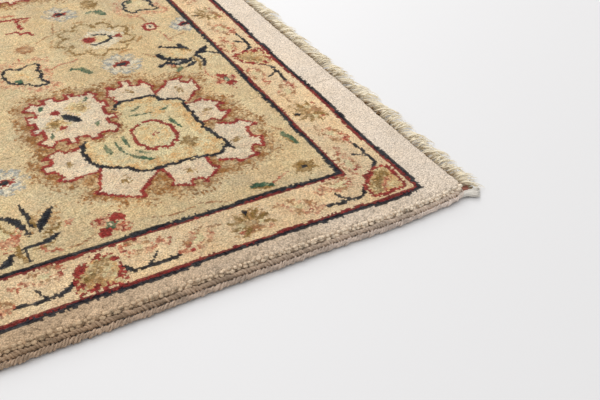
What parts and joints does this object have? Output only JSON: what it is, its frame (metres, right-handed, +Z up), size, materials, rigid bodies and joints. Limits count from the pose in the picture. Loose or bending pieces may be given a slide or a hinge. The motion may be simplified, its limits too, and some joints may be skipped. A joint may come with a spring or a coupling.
{
  "type": "hand-knotted chobi rug",
  "caption": "Flat rectangular wool rug with knotted pile, overcast cords along its long sides, and a woven strip with cotton fringe and a small tab at each corner on both ends.",
  "frame": {"origin": "on the floor under the middle of the rug", "axes": "+X along the rug's length towards the fringe end that the picture shows, +Y across its width, +Z up out of the pile"},
  "size_m": [1.9024, 1.1624, 0.0148],
  "materials": {
    "wool_pile": "clipped hand-knotted wool pile, soft and matt, sand field with a patterned border",
    "overcast_wool": "taupe wool yarn wrapped slantwise over a cord",
    "cotton_fringe": "unbleached twisted cotton warp yarn, matt"
  },
  "bodies": {
    "root": {"pile_carpet": "wool_pile", "selvedge_front": "overcast_wool", "selvedge_back": "overcast_wool", "fringe_right": "cotton_fringe", "fringe_left": "cotton_fringe"}
  },
  "joints": []
}
